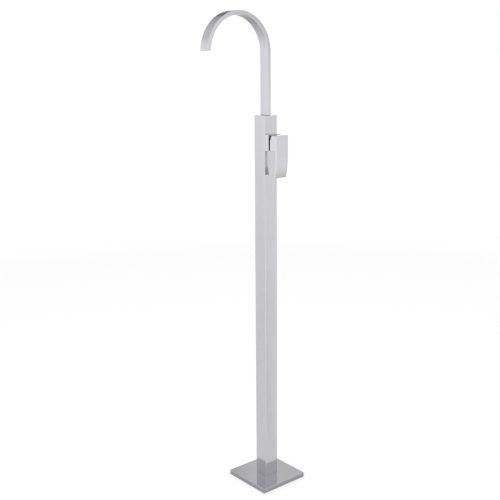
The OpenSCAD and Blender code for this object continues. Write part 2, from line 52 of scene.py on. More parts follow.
def placeCamera(v):
    # back = (sin a, -cos a, 0), place = back * distance + right * sideways + up * height
    a, down, roll = (math.radians(v[k]) for k in ("azimuth", "lookDown", "roll"))
    back = Vector((math.sin(a), -math.cos(a), 0))
    right = Vector((math.cos(a), math.sin(a), 0))
    ahead = -back * math.cos(down) - Vector((0, 0, math.sin(down)))
    top = right.cross(ahead)
    rightTurned = right * math.cos(roll) + top * math.sin(roll)
    topTurned = top * math.cos(roll) - right * math.sin(roll)
    data = bpy.data.cameras.new("viewCamera")
    data.sensor_width = v["sensorWidth"]
    data.lens = v["focalPixels"] * v["sensorWidth"] / v["pictureWidth"]
    data.clip_end = v["clipEnd"]
    camera = bpy.data.objects.new("viewCamera", data)
    bpy.context.scene.collection.objects.link(camera)
    place = back * v["distance"] + right * v["sideways"] + Vector((0, 0, v["height"]))
    turn = Matrix((rightTurned, topTurned, -ahead)).transposed().to_4x4()
    camera.matrix_world = Matrix.Translation(place) @ turn
    bpy.context.scene.camera = camera


placeCamera(viewing)


# Node helpers

def newMaterial(name):
    made = bpy.data.materials.new(name)
    made.use_nodes = True
    made.node_tree.nodes.clear()
    return made, made.node_tree


def addNode(tree, kind, values=None, **links):
    # links give input names in lower case with _ for a blank, each an output socket
    made = tree.nodes.new(kind)
    for key, value in (values or {}).items():
        if isinstance(key, int) or key in made.inputs:
            made.inputs[key].default_value = value
        else:
            setattr(made, key, value)
    for key, source in links.items():
        wanted = [s for s in made.inputs if s.name.lower().replace(" ", "_") == key and s.enabled]
        tree.links.new(source, wanted[0])
    return made


def feed(tree, made, places, sources):
    # numbers go straight into their inputs, sockets are linked
    for place, source in zip(places, sources):
        if isinstance(source, (int, float)):
            made.inputs[place].default_value = source
        elif source is not None:
            tree.links.new(source, made.inputs[place])
    return made


def mathNode(tree, operation, first, second=None):
    made = addNode(tree, "ShaderNodeMath", {"operation": operation})
    return feed(tree, made, (0, 1), (first, second)).outputs[0]


def blend(tree, share, low, high):
    made = addNode(tree, "ShaderNodeMix", {"data_type": "FLOAT"})
    return feed(tree, made, (0, 2, 3), (share, low, high)).outputs[0]


def smoothStep(tree, value, start, end):
    made = addNode(tree, "ShaderNodeMapRange", {"interpolation_type": "SMOOTHSTEP"}, value=value)
    return feed(tree, made, ("From Min", "From Max"), (start, end)).outputs["Result"]


def spread(tree, value, low, high, fromLow=0.0, fromHigh=1.0):
    limits = {"From Min": fromLow, "From Max": fromHigh, "To Min": low, "To Max": high}
    return addNode(tree, "ShaderNodeMapRange", limits, value=value).outputs["Result"]


def ramp(tree, factor, stops):
    made = addNode(tree, "ShaderNodeValToRGB", fac=factor)
    band = made.color_ramp
    while len(band.elements) < len(stops):
        band.elements.new(0.5)
    for element, (at, colour) in zip(band.elements, stops):
        element.position = at
        element.color = (*colour, 1)
    return made.outputs["Color"]


def objectPlace(tree):
    return addNode(tree, "ShaderNodeTexCoord").outputs["Object"]


def noise(tree, place, scale, detail, roughness=0.5):
    values = {"Scale": scale, "Detail": detail, "Roughness": roughness}
    return addNode(tree, "ShaderNodeTexNoise", values, vector=place).outputs["Fac"]


def surface(tree, shader):
    tree.links.new(shader.outputs[0], addNode(tree, "ShaderNodeOutputMaterial").inputs["Surface"])


def principled(tree, values, look, shadeBy, roughBy, roughFrom, bumpBy):
    # shades over the middle of one pattern, roughness by another, and a bump
    shades = ramp(tree, shadeBy, list(zip(shadeStops, look["shades"])))
    bump = addNode(tree, "ShaderNodeBump", {"Strength": 1.0, "Distance": look["depth"]}, height=bumpBy)
    surface(tree, addNode(tree, "ShaderNodeBsdfPrincipled", values, base_color=shades,
                          roughness=spread(tree, roughBy, *look["rough"], *roughFrom),
                          normal=bump.outputs["Normal"]))


# Metal finishes: two shades, the roughness range, and in metres the grain along x, y and z, the fine specks
# and the depth of the bumps
metals = {
    "chrome": {"shades": ((0.553, 0.549, 0.571), (0.567, 0.563, 0.585)), "rough": (0.018, 0.045),
               "grain": (0.012, 0.012, 0.020), "fine": 0.0009, "depth": 0.000004},
    # chrome of the cast parts: a little rougher and coarser in grain, and its shades painted lighter than
    # the tube's chrome so that the cast parts read more brightly lit
    "castChromeLitCopy": {"shades": ((0.570, 0.566, 0.588), (0.586, 0.582, 0.604)), "rough": (0.022, 0.055),
                   "grain": (0.009, 0.009, 0.012), "fine": 0.0008, "depth": 0.000005},
    "brass": {"shades": ((0.66, 0.47, 0.20), (0.78, 0.60, 0.29)), "rough": (0.20, 0.38),
              "grain": (0.004, 0.004, 0.0006), "fine": 0.0004, "depth": 0.00003},
    "copper": {"shades": ((0.68, 0.36, 0.22), (0.80, 0.47, 0.31)), "rough": (0.22, 0.42),
               "grain": (0.002, 0.002, 0.03), "fine": 0.0006, "depth": 0.00003},
    "steel": {"shades": ((0.50, 0.50, 0.52), (0.63, 0.63, 0.64)), "rough": (0.24, 0.40),
              "grain": (0.0008, 0.006, 0.006), "fine": 0.0004, "depth": 0.00002},
    "blackOxide": {"shades": ((0.030, 0.030, 0.034), (0.075, 0.075, 0.082)), "rough": (0.32, 0.50),
                   "grain": (0.002, 0.002, 0.002), "fine": 0.0003, "depth": 0.00002},
    "zincPlate": {"shades": ((0.46, 0.48, 0.52), (0.62, 0.63, 0.62)), "rough": (0.28, 0.52),
                  "grain": (0.02, 0.02, 0.02), "fine": 0.0012, "depth": 0.00003},
}
shadeStops = (0.3, 0.7)
metalNoise = {"cloudDetail": 4.0, "cloudRoughness": 0.55, "speckDetail": 3.0, "speckRoughness": 0.6,
              "sumFrom": (0.7, 1.3)}


def metalFinish(name, look):
    made, tree = newMaterial(name)
    place = objectPlace(tree)
    stretched = addNode(tree, "ShaderNodeMapping", {"Scale": [1 / g for g in look["grain"]]}, vector=place)
    cloud = noise(tree, stretched.outputs["Vector"], 1.0, metalNoise["cloudDetail"],
                  metalNoise["cloudRoughness"])
    speck = noise(tree, place, 1 / look["fine"], metalNoise["speckDetail"], metalNoise["speckRoughness"])
    both = mathNode(tree, "ADD", cloud, speck)
    principled(tree, {"Metallic": 1.0}, look, cloud, both, metalNoise["sumFrom"], cloud)
    return made


# Moulded finishes: two shades, the roughness range, and in metres the skin's grain and its depth
mouldings = {
    "rubber": {"shades": ((0.016, 0.016, 0.017), (0.034, 0.034, 0.035)), "rough": (0.45, 0.65),
               "fine": 0.0007, "depth": 0.00006},
    "acetal": {"shades": ((0.70, 0.68, 0.60), (0.80, 0.78, 0.71)), "rough": (0.30, 0.45),
               "fine": 0.0012, "depth": 0.00003},
    "alumina": {"shades": ((0.80, 0.79, 0.74), (0.88, 0.87, 0.83)), "rough": (0.08, 0.20),
                "fine": 0.0006, "depth": 0.00001},
    "ptfe": {"shades": ((0.74, 0.75, 0.76), (0.84, 0.85, 0.86)), "rough": (0.35, 0.50),
             "fine": 0.0010, "depth": 0.00002},
    "greyPlug": {"shades": ((0.30, 0.30, 0.32), (0.37, 0.37, 0.39)), "rough": (0.22, 0.35),
                 "fine": 0.0008, "depth": 0.00002},
}
mouldedNoise = {"grainDetail": 3.0, "flowDetail": 2.0, "flowScale": 0.12, "grainFrom": (0.35, 0.65)}
mouldedSkin = {"Metallic": 0.0, "IOR": 1.49}


def mouldedFinish(name, look):
    made, tree = newMaterial(name)
    place = objectPlace(tree)
    grain = noise(tree, place, 1 / look["fine"], mouldedNoise["grainDetail"])
    flow = noise(tree, place, mouldedNoise["flowScale"] / look["fine"], mouldedNoise["flowDetail"])
    principled(tree, mouldedSkin, look, flow, grain, mouldedNoise["grainFrom"], grain)
    return made


finishes = {name: metalFinish(name, look) for name, look in metals.items()}
finishes.update({name: mouldedFinish(name, look) for name, look in mouldings.items()})
finishOfSlot = {"chrome": "chrome", "chrome_cast": "castChromeLitCopy", "brass": "brass", "copper": "copper",
                "steel": "steel", "black_screw": "blackOxide", "plated_flange": "zincPlate",
                "rubber": "rubber", "acetal": "acetal", "alumina": "alumina", "ptfe": "ptfe",
                "grey_plug": "greyPlug"}
slotOfNode = {p["node"]: p["material_slot"] for p in frame["record"]["subparts"]}
bodyOfNode = {n: body for body, members in frame["record"]["behaviour"]["bodies"].items() for n in members}
for nodeName, node in nodes.items():
    node.data.materials.clear()
    node.data.materials.append(finishes[finishOfSlot[slotOfNode[nodeName]]])
print("finishes made:", len(finishes))


# Shapes. The pieces' sizes are in millimetres, and their meshes in metres
edgeStations = 6  # stations across a rounded edge
cornerSteps = 6  # steps round the corner of a square loop
roundSteps = 11  # the same where the loops go over into a round hole
leastCorner = 0.15  # corners that shrink inward stop at this radius
openingCorner = 0.2  # radius of a square opening's corners
quarter = np.radians(np.linspace(0, 90, edgeStations))
up = np.array([0, 0, 1.0])


def rectangleLoops(halfU, halfV, radius, arcSteps=cornerSteps):
    # corner centre (+-(halfU - r), +-(halfV - r)) + r (cos a, sin a)
    signU, signV = np.array([1, -1, -1, 1.0]), np.array([1, 1, -1, -1.0])
    angle = np.arange(4)[:, None] * np.pi / 2 + np.linspace(0, np.pi / 2, arcSteps + 1)
    hu, hv, r = (np.asarray(x, float)[:, None, None] for x in (halfU, halfV, radius))
    arcs = np.stack([signU[:, None] * (hu - r) + r * np.cos(angle),
                     signV[:, None] * (hv - r) + r * np.sin(angle)], -1)
    normals = np.broadcast_to(np.stack([np.cos(angle), np.sin(angle)], -1), arcs.shape)
    return arcs.reshape(len(hu), -1, 2), normals.reshape(len(hu), -1, 2)


def circleLoops(radius, arcSteps):
    # r (cos a, sin a), with as many points in each quarter as a rectangle's corner has
    angle = (np.arange(4 * (arcSteps + 1)) + 0.5) * np.pi / (2 * arcSteps + 2)
    ring = np.stack([np.cos(angle), np.sin(angle)], -1)
    loops = np.asarray(radius, float)[:, None, None] * ring
    return loops, np.broadcast_to(ring, loops.shape)


def stackLoops(flat, flatNormal, height):
    # each loop at its own height: (u, v, h), with outward normals (nu, nv, 0)
    points = np.concatenate([flat, np.broadcast_to(height[:, None, None], (*flat.shape[:2], 1))], -1)
    return points, np.concatenate([flatNormal, np.zeros_like(points[..., :1])], -1)


def gridQuads(rows, around, closed=False):
    # quads between neighbouring loops; closed joins the last loop to the first
    count = rows if closed else rows - 1
    i, j = (a.ravel() for a in np.meshgrid(np.arange(count), np.arange(around), indexing="ij"))
    i2, j2 = (i + 1) % rows, (j + 1) % around
    return np.stack([i * around + j, i * around + j2, i2 * around + j2, i2 * around + j], 1)


def listMesh(name, points, quads, caps=()):
    mesh = bpy.data.meshes.new(name)
    mesh.from_pydata(points.reshape(-1, 3).tolist(), [], quads.tolist() + [list(cap) for cap in caps])
    return mesh


def loftMesh(name, points, outward, tangent, tilt):
    # closed loft; corner normal = cos(tilt) outward + sin(tilt) tangent
    lean = np.asarray(tilt, float)[:, None, None]
    normals = (np.cos(lean) * outward + np.sin(lean) * tangent[:, None]).reshape(-1, 3)
    quads = gridQuads(*points.shape[:2], closed=True)
    mesh = bpy.data.meshes.new(name)
    mesh.vertices.add(len(normals))
    mesh.vertices.foreach_set("co", np.asarray(points * mm, np.float32).ravel())
    mesh.loops.add(quads.size)
    mesh.loops.foreach_set("vertex_index", quads.astype(np.int32).ravel())
    mesh.polygons.add(len(quads))
    mesh.polygons.foreach_set("loop_start", np.arange(0, quads.size, 4, dtype=np.int32))
    mesh.update(calc_edges=True)
    mesh.polygons.foreach_set("use_smooth", np.ones(len(quads), bool))
    mesh.normals_split_custom_set(normals[quads].reshape(-1, 3).tolist())
    return mesh


def wallSection(outer, inner, low, high, rim, innerRim, footRim=None):
    # once round a wall from its outer top edge: size and height of each station, and its normal's tilt.
    # each edge is a quarter circle of its rim's radius
    c, s = np.cos(quarter), np.sin(quarter)
    foot = footRim or rim
    size = np.concatenate([outer - rim + rim * c, inner + innerRim * (1 - s), inner + innerRim * (1 - c),
                           outer - foot + foot * s])
    height = np.concatenate([high - rim + rim * s, high - innerRim + innerRim * c, low + innerRim * (1 - s),
                             low + foot * (1 - c)])
    return size, height, np.concatenate([quarter + k * np.pi / 2 for k in range(4)])


def ringMesh(name, section, corner, roundHole=False, axisZ=None, arcSteps=cornerSteps):
    # square loops, or round ones for the hole, stacked on the upright axis or on the valve's axis along x
    size, height, tilt = section
    outside = np.arange(len(size)) // len(quarter) % 3 == 0
    rounding = np.where(outside, np.maximum(corner - (size.max() - size), leastCorner), openingCorner)
    flat, flatNormal = rectangleLoops(size, size, rounding, arcSteps)
    if roundHole:
        hole, holeNormal = circleLoops(size, arcSteps)
        flat = np.where(outside[:, None, None], flat, hole)
        flatNormal = np.where(outside[:, None, None], flatNormal, holeNormal)
    points, outward = stackLoops(flat, flatNormal, height)
    tangent = np.broadcast_to(up, (len(points), 3))
    if axisZ is not None:
        points, outward, tangent = (np.roll(a, 1, -1) for a in (points, outward, tangent))
        points = points + np.array([0, 0, axisZ])
    return loftMesh(name, points, outward, tangent, tilt)


def turnedMesh(name, radius, height, place, along="z", steps=48):
    # surface of revolution about z, x or y: (r cos a, r sin a, h), with a flat disc at each end
    angle = np.arange(steps) * 2 * np.pi / steps
    r, h = (np.asarray(v, float)[:, None] for v in (radius, height))
    points = np.stack([r * np.cos(angle), r * np.sin(angle), np.broadcast_to(h, (len(h), steps))], -1)
    points = np.roll(points, {"z": 0, "x": 1, "y": 2}[along], -1) + np.array(place)
    last = (len(r) - 1) * steps
    ends = (range(steps)[::-1], range(last, last + steps))
    return listMesh(name, points * mm, gridQuads(len(r), steps), ends)


def boxMesh(name, low, high):
    # six faces between the corners (x0 or x1, y0 or y1, z0 or z1)
    (x0, y0, z0), (x1, y1, z1) = low, high
    corners = np.array([(x0, y0, z0), (x1, y0, z0), (x1, y1, z0), (x0, y1, z0),
                        (x0, y0, z1), (x1, y0, z1), (x1, y1, z1), (x0, y1, z1)]) * mm
    sides = np.array([(3, 2, 1, 0), (4, 5, 6, 7), (0, 1, 5, 4), (1, 2, 6, 5), (2, 3, 7, 6), (3, 0, 4, 7)])
    return listMesh(name, corners, sides)


def combine(mesh, *steps):
    # exact Boolean steps, each ("DIFFERENCE" or "UNION", mesh), worked out at once, so no cutter stays
    made = [bpy.data.objects.new("blank", mesh)] + [bpy.data.objects.new("tool", tool) for _, tool in steps]
    for thing in made:
        bpy.context.scene.collection.objects.link(thing)
    for thing, (operation, _) in zip(made[1:], steps):
        cut = made[0].modifiers.new("combine", "BOOLEAN")
        cut.operation, cut.solver, cut.object = operation, "EXACT", thing
    result = bpy.data.meshes.new_from_object(made[0].evaluated_get(bpy.context.evaluated_depsgraph_get()))
    result.name = mesh.name
    for thing in made:
        bpy.data.objects.remove(thing)
    return crisp(result)


def crisp(mesh, angle=32):
    mesh.polygons.foreach_set("use_smooth", np.ones(len(mesh.polygons), bool))
    mesh.set_sharp_from_angle(angle=math.radians(angle))
    return mesh


def addPiece(name, mesh, node, weighted=False):
    # the piece takes its node's place, body and material
    piece = bpy.data.objects.new(name, mesh)
    bpy.context.scene.collection.objects.link(piece)
    mesh.materials.clear()
    mesh.materials.append(finishes[finishOfSlot[slotOfNode[node]]])
    if weighted:
        piece.modifiers.new("flatFaces", "WEIGHTED_NORMAL").keep_sharp = True
    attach(piece, bodyOfNode[node])
    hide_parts(node)


# Spout: ribbon tube carried up the leg and round the arch
ribbon = {"width": 28.75, "thickness": 9.75, "wall": 1.25, "edge": 0.9, "boreEdge": 0.25, "rim": 0.3,
          "footRim": 0.7, "footZ": 985.2, "archZ": 1138.0, "archRadius": 92.0, "sweep": 177.6,
          "archSteps": 240, "mouthStep": 1.2}


def ribbonPath(r, along):
    # leg: (0, 0, foot + s); arch, with a = (s - leg) / R: (0, R cos a - R, archZ + R sin a).
    # with it come the way out, (0, cos a, sin a), and the tangent, (0, -sin a, cos a)
    radius, leg = r["archRadius"], r["archZ"] - r["footZ"]
    a = np.clip(along - leg, 0, None) / radius
    climb = np.minimum(along, leg)
    zero = np.zeros_like(a)
    centre = np.stack([zero, radius * (np.cos(a) - 1), r["footZ"] + climb + radius * np.sin(a)], -1)
    return centre, np.stack([zero, np.cos(a), np.sin(a)], -1), np.stack([zero, -np.sin(a), np.cos(a)], -1)


def makeSpout(r):
    # wall section carried along the path, with more stations between its ends, outside and inside
    leg = r["archZ"] - r["footZ"]
    length = leg + r["archRadius"] * math.radians(r["sweep"])
    inset, along, tilt = wallSection(0, -r["wall"], 0, length, r["rim"], r["rim"], r["footRim"])
    between = np.concatenate([[leg / 2], np.linspace(leg, length - r["mouthStep"], r["archSteps"])])
    half, flatRun = 2 * len(quarter), 0 * between
    along = np.concatenate([along[:half], between[::-1], along[half:], between])
    inset = np.concatenate([inset[:half], flatRun - r["wall"], inset[half:], flatRun])
    tilt = np.concatenate([tilt[:half], flatRun + np.pi, tilt[half:], flatRun])
    centre, outV, tangent = ribbonPath(r, along)
    rounding = np.maximum(r["edge"] + inset, r["boreEdge"])
    flat, flatNormal = rectangleLoops(r["width"] / 2 + inset, r["thickness"] / 2 + inset, rounding)
    outU = np.array([1.0, 0, 0])
    points = centre[:, None] + flat[..., :1] * outU + flat[..., 1:] * outV[:, None]
    outward = flatNormal[..., :1] * outU + flatNormal[..., 1:] * outV[:, None]
    return loftMesh("spoutRibbon", points, outward, tangent, tilt)


addPiece("spoutRibbon", makeSpout(ribbon), "spout")
print("spout made")


# Column: square tube with a fine edge at the top, a lid let into it, and the stop screw's hole at the back
tube = {"half": 20.0, "wall": 2.0, "corner": 0.7, "rim": 0.3, "innerRim": 0.12, "bottomZ": 5.0,
        "topZ": 985.0, "stopHole": 2.2, "stopZ": 968.55, "stopReach": 6}
lid = {"half": 17.95, "hole": 4.675, "corner": 0.3, "rim": 0.15, "bottomZ": 980.0, "topZ": 985.0}


def makeColumn(t):
    # square ring between the bottom and the top, less a round hole through the back wall
    wall = wallSection(t["half"], t["half"] - t["wall"], t["bottomZ"], t["topZ"], t["rim"], t["innerRim"])
    reach = [-t["stopReach"], t["stopReach"]]
    hole = turnedMesh("stopHole", [t["stopHole"]] * 2, reach, (0, t["half"], t["stopZ"]), "y")
    return combine(ringMesh("columnTube", wall, t["corner"]), ("DIFFERENCE", hole))


def makeLid(v):
    # square ring with a round hole
    wall = wallSection(v["half"], v["hole"], v["bottomZ"], v["topZ"], v["rim"], v["rim"])
    return ringMesh("columnLid", wall, v["corner"], roundHole=True, arcSteps=roundSteps)


addPiece("columnTube", makeColumn(tube), "column", weighted=True)
addPiece("columnLid", makeLid(lid), "column_lid")
print("column made")


# Cover plate: pressed square cover, open below, with a square opening for the column
cover = {"half": 72.0, "height": 13.0, "wall": 1.5, "edge": 0.8, "bend": 0.5, "insideCorner": 0.3,
         "foot": 0.3, "opening": 20.15, "lip": 0.35}


def coverSection(c):
    # once round the pressed wall from the top edge: top face, opening, ceiling, inside, foot and side.
    # every edge is a quarter circle, and the inside bend is a hollow one
    co, si = np.cos(quarter), np.sin(quarter)
    half, hole, ceiling = c["half"], c["opening"], c["height"] - c["wall"]
    inner = half - c["wall"]
    size = [half - c["edge"] * (1 - co), hole + c["lip"] * (1 - si), hole + c["lip"] * (1 - co),
            inner - c["bend"] * (1 - si), inner + c["foot"] * (1 - co), half - c["foot"] * (1 - si)]
    height = [c["height"] - c["edge"] * (1 - si), c["height"] - c["lip"] * (1 - co),
              ceiling + c["lip"] * (1 - si), ceiling - c["bend"] * (1 - co), c["foot"] * (1 - si),
              c["foot"] * (1 - co)]
    tilt = [quarter, quarter + np.pi / 2, quarter + np.pi, 1.5 * np.pi - quarter, quarter + np.pi,
            quarter + 1.5 * np.pi]
    return tuple(np.concatenate(part) for part in (size, height, tilt))


def makeCover(c):
    # square loops of the pressed wall's section, stacked upright
    size, height, tilt = coverSection(c)
    place = np.arange(len(size)) // len(quarter)
    outerCorner = c["edge"] - (c["half"] - size)
    opening, inside = np.full_like(size, openingCorner), np.full_like(size, c["insideCorner"])
    corner = np.choose(place, [outerCorner, opening, opening, inside, inside, outerCorner])
    points, outward = stackLoops(*rectangleLoops(size, size, np.maximum(corner, leastCorner)), height)
    return loftMesh("coverPlate", points, outward, np.broadcast_to(up, (len(points), 3)), tilt)


addPiece("coverPlate", makeCover(cover), "cover_plate")
print("cover made")


# Valve stub: square housing on the column's side, bored for the cartridge, with four countersunk holes
stub = {"half": 20.0, "backX": 20.0, "frontX": 33.5, "axisZ": 918.5, "bore": 14.05, "seat": 12.6,
        "housingEndX": 28.8, "corner": 0.7, "rim": 0.4, "boreRim": 0.3, "boreSteps": 96, "screwAt": 13.5,
        "screwHole": 2.05, "sink": 3.5, "sinkDepth": 1.6, "sinkDrop": 0.2, "past": 2}


def makeStub(v):
    # square ring with a round hole, less the wider nut bore and the stepped screw holes
    wall = wallSection(v["half"], v["seat"], v["backX"], v["frontX"], v["rim"], v["boreRim"])
    ring = ringMesh("valveStub", wall, v["corner"], roundHole=True, axisZ=v["axisZ"], arcSteps=roundSteps)
    reach = [v["housingEndX"], v["frontX"] + v["past"]]
    cutters = [turnedMesh("nutBore", [v["bore"]] * 2, reach, (0, 0, v["axisZ"]), "x", v["boreSteps"])]
    face = v["frontX"] - v["sinkDrop"]
    steps = [v["backX"] - v["past"], face - v["sinkDepth"], face, face + v["past"]]
    radii = [v["screwHole"]] * 2 + [v["sink"]] * 2
    for y in (-v["screwAt"], v["screwAt"]):
        for z in (-v["screwAt"], v["screwAt"]):
            cutters.append(turnedMesh("screwHole", radii, steps, (0, y, v["axisZ"] + z), "x"))
    return combine(ring, *(("DIFFERENCE", cutter) for cutter in cutters))


addPiece("valveStub", makeStub(stub), "valve_stub", weighted=True)
print("stub made")


# Lever: hollow square head with a slope at the top of its inner face, and a bent paddle
lever = {"innerX": 37.5, "outerX": 62.5, "axisZ": 918.5, "half": 19.0, "slopeHeight": 14.5,
         "slopeDepth": 6.305, "bendDrop": 33.0, "tipDrop": 86.0, "bendRadius": 190.0, "paddle": 6.0,
         "edge": 0.7, "edgeSteps": 6, "arcSteps": 48, "arcShort": 0.4, "pocket": 16.0, "pocketPast": 3,
         "boss": 7.0, "bossX": 40.0, "past": 1, "stemEndX": 49.0, "stemHole": 3.6, "stemSpare": 0.4,
         "grubX": 45.0, "grubHole": 2.55, "grubInto": 0.5, "plugHole": 3.3, "plugDepth": 2.0}


def roundedCorners(corners, radius, steps):
    # each corner p, with unit directions a into it and b out of it, becomes an arc that touches both:
    # from p - a * reach, turning from a to b
    p, a, b = (np.array([corner[k] for corner in corners], float) for k in range(3))
    turn = np.arctan2(a[:, 0] * b[:, 1] - a[:, 1] * b[:, 0], (a * b).sum(1))
    side = np.sign(turn)[:, None, None]
    normal = np.stack([a[:, 1], -a[:, 0]], 1)[:, None]
    start = (p - a * (radius * np.tan(np.abs(turn) / 2))[:, None])[:, None]
    share = (turn[:, None] * np.linspace(0, 1, steps))[..., None]
    normals = normal * np.cos(share) + a[:, None] * np.sin(share)
    return start + side * radius * (normals - normal), normals


def leverOutline(v):
    # side view, distance from the column against height: the paddle's faces are arcs
    # r (cos a, -sin a) about (outerX - R, -bendDrop), the rest is straight with rounded corners
    outerR, innerR = v["bendRadius"], v["bendRadius"] - v["paddle"]
    centreX, drop, r = v["outerX"] - outerR, v["tipDrop"] - v["bendDrop"], v["edge"]
    innerEnd, outerEnd = math.asin(drop / innerR), math.asin(drop / outerR)
    slope = np.array([-v["slopeDepth"], -v["slopeHeight"]]) / math.hypot(v["slopeDepth"], v["slopeHeight"])
    right, left, upward, down = (1, 0), (-1, 0), (0, 1), (0, -1)
    innerTip = (centreX + innerR * math.cos(innerEnd), -v["tipDrop"])
    outerTip = (centreX + outerR * math.cos(outerEnd), -v["tipDrop"])
    corners = [((v["innerX"], -v["half"]), down, right), ((centreX + innerR, -v["half"]), right, down),
               (innerTip, (-math.sin(innerEnd), -math.cos(innerEnd)), right),
               (outerTip, right, (math.sin(outerEnd), math.cos(outerEnd))),
               ((v["outerX"], v["half"]), upward, left),
               ((v["innerX"] + v["slopeDepth"], v["half"]), left, slope),
               ((v["innerX"], v["half"] - v["slopeHeight"]), slope, down)]
    points, normals = roundedCorners(corners, r, v["edgeSteps"])
    arcs = []
    for radius, end, way in ((innerR, innerEnd, -1), (outerR, outerEnd, 1)):
        turn = math.pi / 2 - way * end
        a = np.linspace(0, end - (r * math.tan(turn / 2) + v["arcShort"]) / radius, v["arcSteps"])[::-way]
        ring = np.stack([np.cos(a), -np.sin(a)], 1)
        arcs.append((np.array([centreX, -v["bendDrop"]]) + radius * ring, way * ring))
    order = [*zip(points[:2], normals[:2]), arcs[0], *zip(points[2:4], normals[2:4]), arcs[1],
             *zip(points[4:], normals[4:])]
    return tuple(np.concatenate([part[k] for part in order]) for k in (0, 1))


def leverShell(v):
    # outline carried across the width; at both ends it draws in by e (1 - cos q) while it widens by e sin q
    outline, normals = leverOutline(v)
    e = v["edge"]
    inset = np.concatenate([e * (1 - np.sin(quarter)), e * (1 - np.cos(quarter))])
    across = np.concatenate([-v["half"] + e * (1 - np.cos(quarter)), v["half"] - e * (1 - np.sin(quarter))])
    flat = outline - inset[:, None, None] * normals
    points = np.stack([flat[..., 0], np.broadcast_to(across[:, None], flat.shape[:2]),
                       flat[..., 1] + v["axisZ"]], -1)
    rows, around = flat.shape[:2]
    quads = gridQuads(rows, around)[:, [0, 3, 2, 1]]
    return listMesh("leverHandle", points * mm, quads,
                    (range(around), range((rows - 1) * around, rows * around)[::-1]))


def makeLever(v):
    # shell, less the head's pocket, plus the stem's boss and the screw's boss, less their holes
    z, hole, boss, pocket, past = v["axisZ"], v["stemHole"], v["boss"], v["pocket"], v["past"]
    pocketEnd = v["outerX"] - v["paddle"]
    under = -v["half"]
    grubSteps = [under - past, under + v["plugDepth"], under + v["plugDepth"], v["grubInto"] - hole]
    return combine(
        leverShell(v),
        ("DIFFERENCE", boxMesh("pocket", (v["innerX"] - v["pocketPast"], -pocket, z - pocket),
                               (pocketEnd, pocket, z + pocket))),
        ("UNION", boxMesh("boss", (v["bossX"], -boss, z - boss), (pocketEnd + past, boss, z + boss))),
        ("UNION", boxMesh("grubBoss", (v["bossX"], -boss, z - pocket - past), (v["stemEndX"], boss, z))),
        ("DIFFERENCE", boxMesh("stemHole", (v["bossX"] - past, -hole, z - hole),
                               (v["stemEndX"] + v["stemSpare"], hole, z + hole))),
        ("DIFFERENCE", turnedMesh("grubHole", [v["plugHole"]] * 2 + [v["grubHole"]] * 2, grubSteps,
                                  (v["grubX"], 0, z))))


addPiece("leverHandle", makeLever(lever), "lever", weighted=True)

# Plug over the lever's clamp screw
plug = {"radius": 3.2, "z": 899.5, "thickness": 2.0, "dish": 0.12, "rim": 0.35, "centre": 0.25,
        "bevel": 0.2, "domeSteps": 8}


def makePlug(p):
    # low dome, dish times (1 - t t), then a rounded rim, the side and a bevel
    t = np.linspace(0, 1, p["domeSteps"])
    flatRadius = p["radius"] - p["rim"]
    radius = np.concatenate([p["centre"] + (flatRadius - p["centre"]) * t,
                             p["radius"] - p["rim"] * (1 - np.sin(quarter[1:])),
                             [p["radius"], p["radius"] - p["bevel"]]])
    height = np.concatenate([p["dish"] * (1 - t ** 2), p["rim"] * (1 - np.cos(quarter[1:])),
                             [p["thickness"] - p["bevel"], p["thickness"]]])
    return crisp(turnedMesh("plugCap", radius, height, (lever["grubX"], 0, p["z"])))


addPiece("plugCap", makePlug(plug), "lever_screw_plug")
print("lever made")


# Stage, in metres: a pale floor, clear under the plate, that curves up into a pale wall all round
studio = {"radius": 3.3, "cove": 0.6, "coveSteps": 25, "floorRings": [0.03, 0.4, 0.8, 1.4, 2.0],
          "wallSteps": 7, "turnSteps": 180, "wallTop": 2.7, "domeTop": 5.2, "domeFrom": 6, "domeTo": 88,
          "domeSteps": 20, "floorZ": -0.0003, "plateHalf": 0.0722, "glowStops": (0.0, 0.21, 0.42),
          "glows": (0.39, 0.80, 1.01), "glowHeight": 1.2, "glowStrength": 1.25, "floorShade": 0.56,
          "shadeHeight": 0.5}
softbox = {"size": 1.8, "place": (0.3, -0.3, 2.9), "watts": 15.0}

